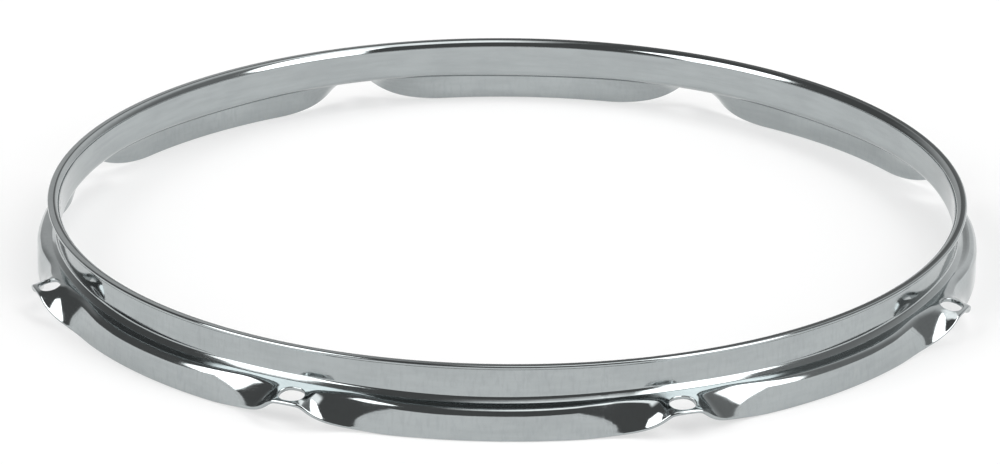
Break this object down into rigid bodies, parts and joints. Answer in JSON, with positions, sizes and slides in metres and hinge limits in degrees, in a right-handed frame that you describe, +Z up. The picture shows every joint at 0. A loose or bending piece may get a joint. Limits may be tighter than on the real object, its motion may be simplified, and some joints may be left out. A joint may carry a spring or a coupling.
{
  "type": "drum hoop",
  "caption": "Triple flanged steel drum hoop: a narrow rolled rim, an upright wall, a sloping shoulder, and skirts between ears pierced for tension rods.",
  "frame": {"origin": "on the hoop's axis, level with the lower edges of the skirts", "axes": "+Z up along the axis, from the skirts to the rim; +X and +Y through the middles of two skirts, halfway between ears"},
  "size_m": [0.379, 0.379, 0.0286],
  "materials": {
    "chrome_plate": "bright chrome plate over polished steel sheet",
    "plated_weld": "chrome plate over a dressed weld, a little duller"
  },
  "bodies": {
    "root": {"hoop_strip": "chrome_plate", "butt_weld": "plated_weld"}
  },
  "joints": []
}
